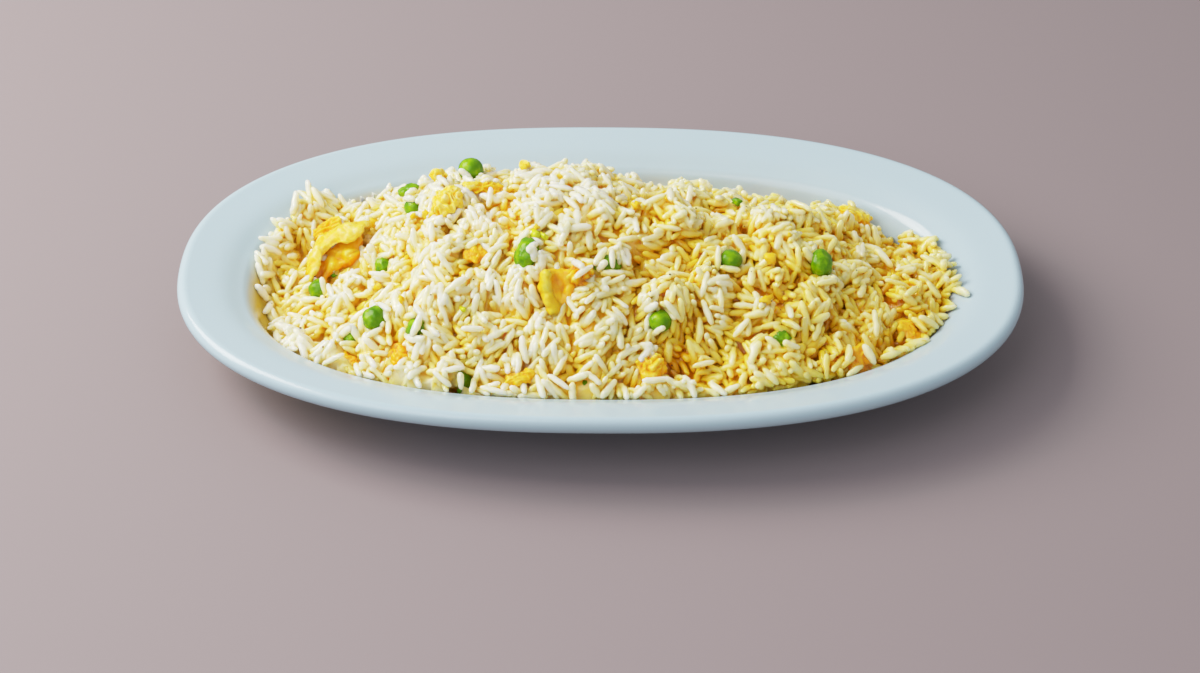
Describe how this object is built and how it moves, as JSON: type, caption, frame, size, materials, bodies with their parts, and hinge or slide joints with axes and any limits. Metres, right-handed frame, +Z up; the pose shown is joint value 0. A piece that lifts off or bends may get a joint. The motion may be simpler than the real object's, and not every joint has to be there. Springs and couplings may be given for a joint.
{
  "type": "fried rice plate",
  "caption": "Oval white porcelain platter with a broad rim, its deep well heaped with fried long-grain rice, pieces of scrambled egg and green peas.",
  "frame": {"origin": "on the table, under the middle of the platter", "axes": "+X along the platter's length, +Y towards its back, +Z up"},
  "size_m": [0.29, 0.172, 0.058],
  "materials": {
    "porcelain": "white glazed porcelain with a faint blue-green cast, glossy",
    "rice": "cooked long-grain rice, creamy white and slightly translucent, with a thin shine of oil",
    "egg": "scrambled egg, deep yellow, soft and slightly moist",
    "pea": "cooked garden peas, bright green, smooth and moist"
  },
  "bodies": {
    "root": {"platter": "porcelain", "rice_heap": "rice", "pea_01": "pea", "pea_02": "pea", "pea_03": "pea", "pea_04": "pea", "pea_05": "pea", "pea_06": "pea", "pea_07": "pea", "pea_08": "pea", "pea_09": "pea", "pea_10": "pea", "pea_11": "pea", "pea_12": "pea", "pea_13": "pea", "pea_14": "pea", "pea_15": "pea", "pea_16": "pea", "egg_sheet_left": "egg", "egg_curd_left": "egg", "egg_curd_back": "egg", "egg_peak_back": "egg", "egg_fold_back": "egg", "egg_tip_back": "egg", "egg_patch_middle": "egg", "egg_slab_centre": "egg", "egg_curd_centre": "egg", "egg_curd_front": "egg", "egg_curd_far_right": "egg", "egg_piece_right": "egg", "egg_sheet_right": "egg", "egg_fold_front": "egg", "egg_deep_left": "egg", "egg_deep_corner": "egg"}
  },
  "joints": []
}
